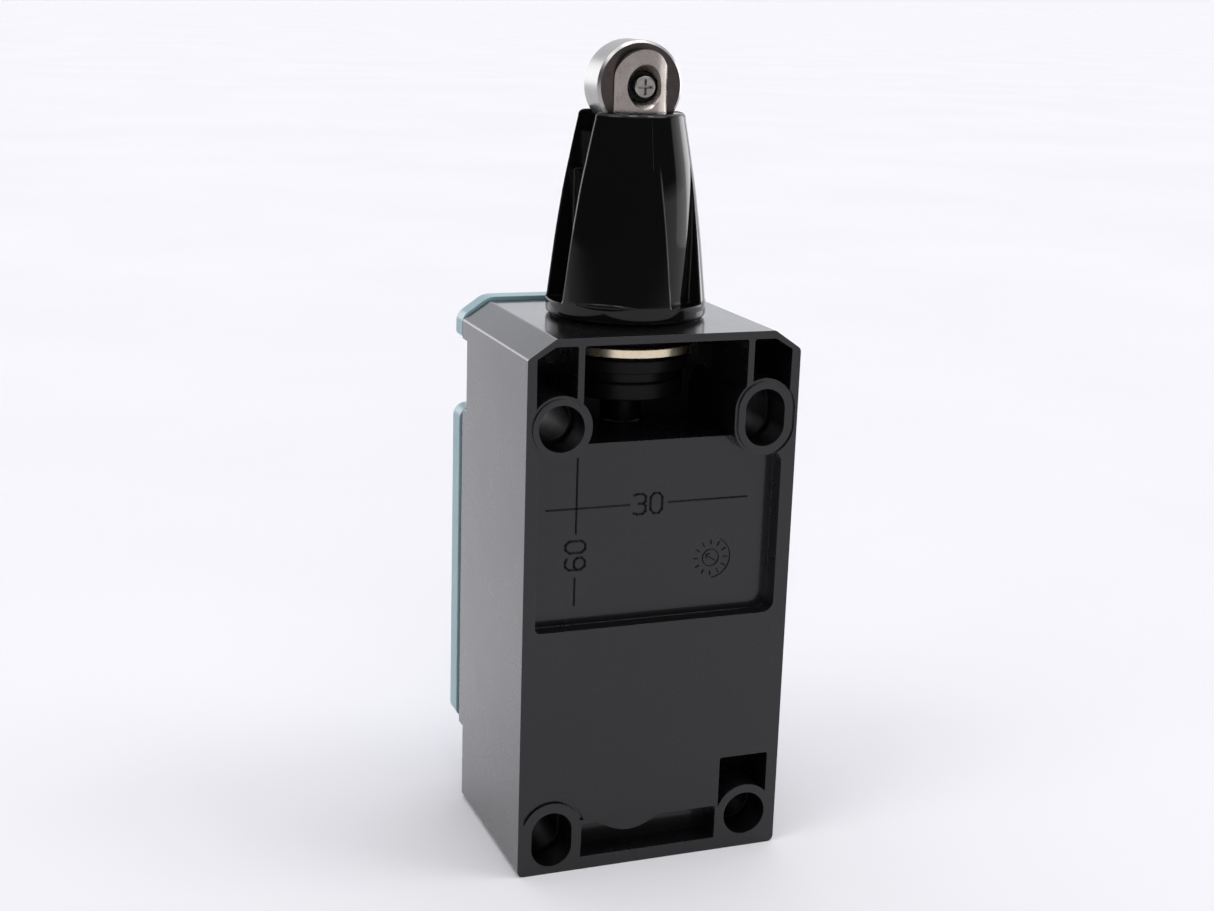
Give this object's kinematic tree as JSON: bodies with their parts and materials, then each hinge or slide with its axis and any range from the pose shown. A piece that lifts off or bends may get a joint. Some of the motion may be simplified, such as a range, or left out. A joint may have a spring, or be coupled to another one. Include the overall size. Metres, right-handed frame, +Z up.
{
  "type": "limit switch",
  "caption": "Slim upright limit switch with a roller plunger on a turnable conical head, moulded housing with slotted fixing holes and a lift-off cover over the contact block.",
  "frame": {"origin": "under the middle of the housing, on the plane of its bottom face, halfway between the mounting face and the cover's outer face", "axes": "+Z up along the plunger axis, +Y out of the mounting face, -Y out of the cover; +X across the width"},
  "size_m": [0.04, 0.035, 0.1159],
  "materials": {
    "housing_plastic": "moulded black thermoplastic, satin",
    "head_plastic": "moulded black thermoplastic, glossy",
    "cover_plastic": "moulded teal thermoplastic, satin gloss",
    "block_plastic": "cream thermoset",
    "grey_plastic": "grey thermoplastic",
    "seal_rubber": "black nitrile rubber",
    "stainless_steel": "ground and polished",
    "roller_steel": "ground, hardened",
    "zinc_steel": "zinc plated",
    "spring_steel": "drawn spring wire",
    "gold_passivated_steel": "yellow passivated, bright",
    "brass": "turned brass",
    "contact_copper": "copper alloy with silver contact tips"
  },
  "bodies": {
    "housing": {"housing": "housing_plastic", "cover_screw_insert": "brass", "contact_block_base": "block_plastic", "contact_block_lid": "grey_plastic", "terminal_nc_left": "brass", "terminal_nc_right": "brass", "terminal_no_left": "brass", "terminal_no_right": "brass", "clamp_plate_nc_left": "zinc_steel", "clamp_plate_nc_right": "zinc_steel", "clamp_plate_no_left": "zinc_steel", "clamp_plate_no_right": "zinc_steel", "terminal_screw_nc_left": "zinc_steel", "terminal_screw_nc_right": "zinc_steel", "terminal_screw_no_left": "zinc_steel", "terminal_screw_no_right": "zinc_steel", "tappet_spring": "spring_steel", "lock_lever_pin": "zinc_steel"},
    "head": {"head_tower": "head_plastic", "head_spigot": "housing_plastic", "head_retaining_ring": "gold_passivated_steel", "head_seal_ring": "seal_rubber", "guide_bush": "brass", "wiper_seal": "seal_rubber", "return_spring": "spring_steel"},
    "plunger": {"plunger_fork": "stainless_steel", "plunger_stem": "grey_plastic", "plunger_clip": "spring_steel", "roller_pin": "stainless_steel"},
    "roller": {"roller": "roller_steel"},
    "tappet": {"contact_tappet": "grey_plastic"},
    "contact_bridges": {"contact_bridge_nc": "contact_copper", "contact_bridge_no": "contact_copper", "contact_pressure_spring": "spring_steel"},
    "lock_lever": {"head_lock_lever": "cover_plastic"},
    "cover": {"cover": "cover_plastic", "cover_gasket": "seal_rubber"},
    "cover_screw": {"cover_screw": "zinc_steel", "cover_screw_retainer": "grey_plastic"}
  },
  "joints": [
    {"name": "head_turn", "type": "hinge", "parent": "housing", "child": "head", "pos_m": [0, 0.001, 0.078], "axis": [0, 0, 1], "range_deg": [-180, 180]},
    {"name": "plunger_slide", "type": "slide", "parent": "head", "child": "plunger", "axis": [0, 0, -1], "range_m": [0, 0.005], "stiffness_N_per_m": 900, "springref_m": -0.004, "deforming": ["return_spring"]},
    {"name": "roller_spin", "type": "hinge", "parent": "plunger", "child": "roller", "pos_m": [0, 0.001, 0.1096], "axis": [0, 1, 0], "continuous": true},
    {"name": "tappet_slide", "type": "slide", "parent": "housing", "child": "tappet", "axis": [0, 0, -1], "range_m": [0, 0.005], "deforming": ["tappet_spring"]},
    {"name": "contact_slide", "type": "slide", "parent": "housing", "child": "contact_bridges", "axis": [0, 0, -1], "range_m": [0, 0.0022]},
    {"name": "lock_lever_hinge", "type": "hinge", "parent": "housing", "child": "lock_lever", "pos_m": [-0.0068, -0.01185, 0.0696], "axis": [0, 0, -1], "range_deg": [0, 12]},
    {"name": "cover_lift_off", "type": "slide", "parent": "housing", "child": "cover", "axis": [0, -1, 0], "range_m": [0, 0.025]},
    {"name": "cover_screw_turn", "type": "hinge", "parent": "cover", "child": "cover_screw", "pos_m": [0, -0.015, 0.0172], "axis": [0, 1, 0], "continuous": true}
  ],
  "couplings": [
    {"joint": "tappet_slide", "follows": "plunger_slide", "ratio": 1},
    {"joint": "contact_slide", "follows": "plunger_slide", "ratio": 0.44}
  ]
}
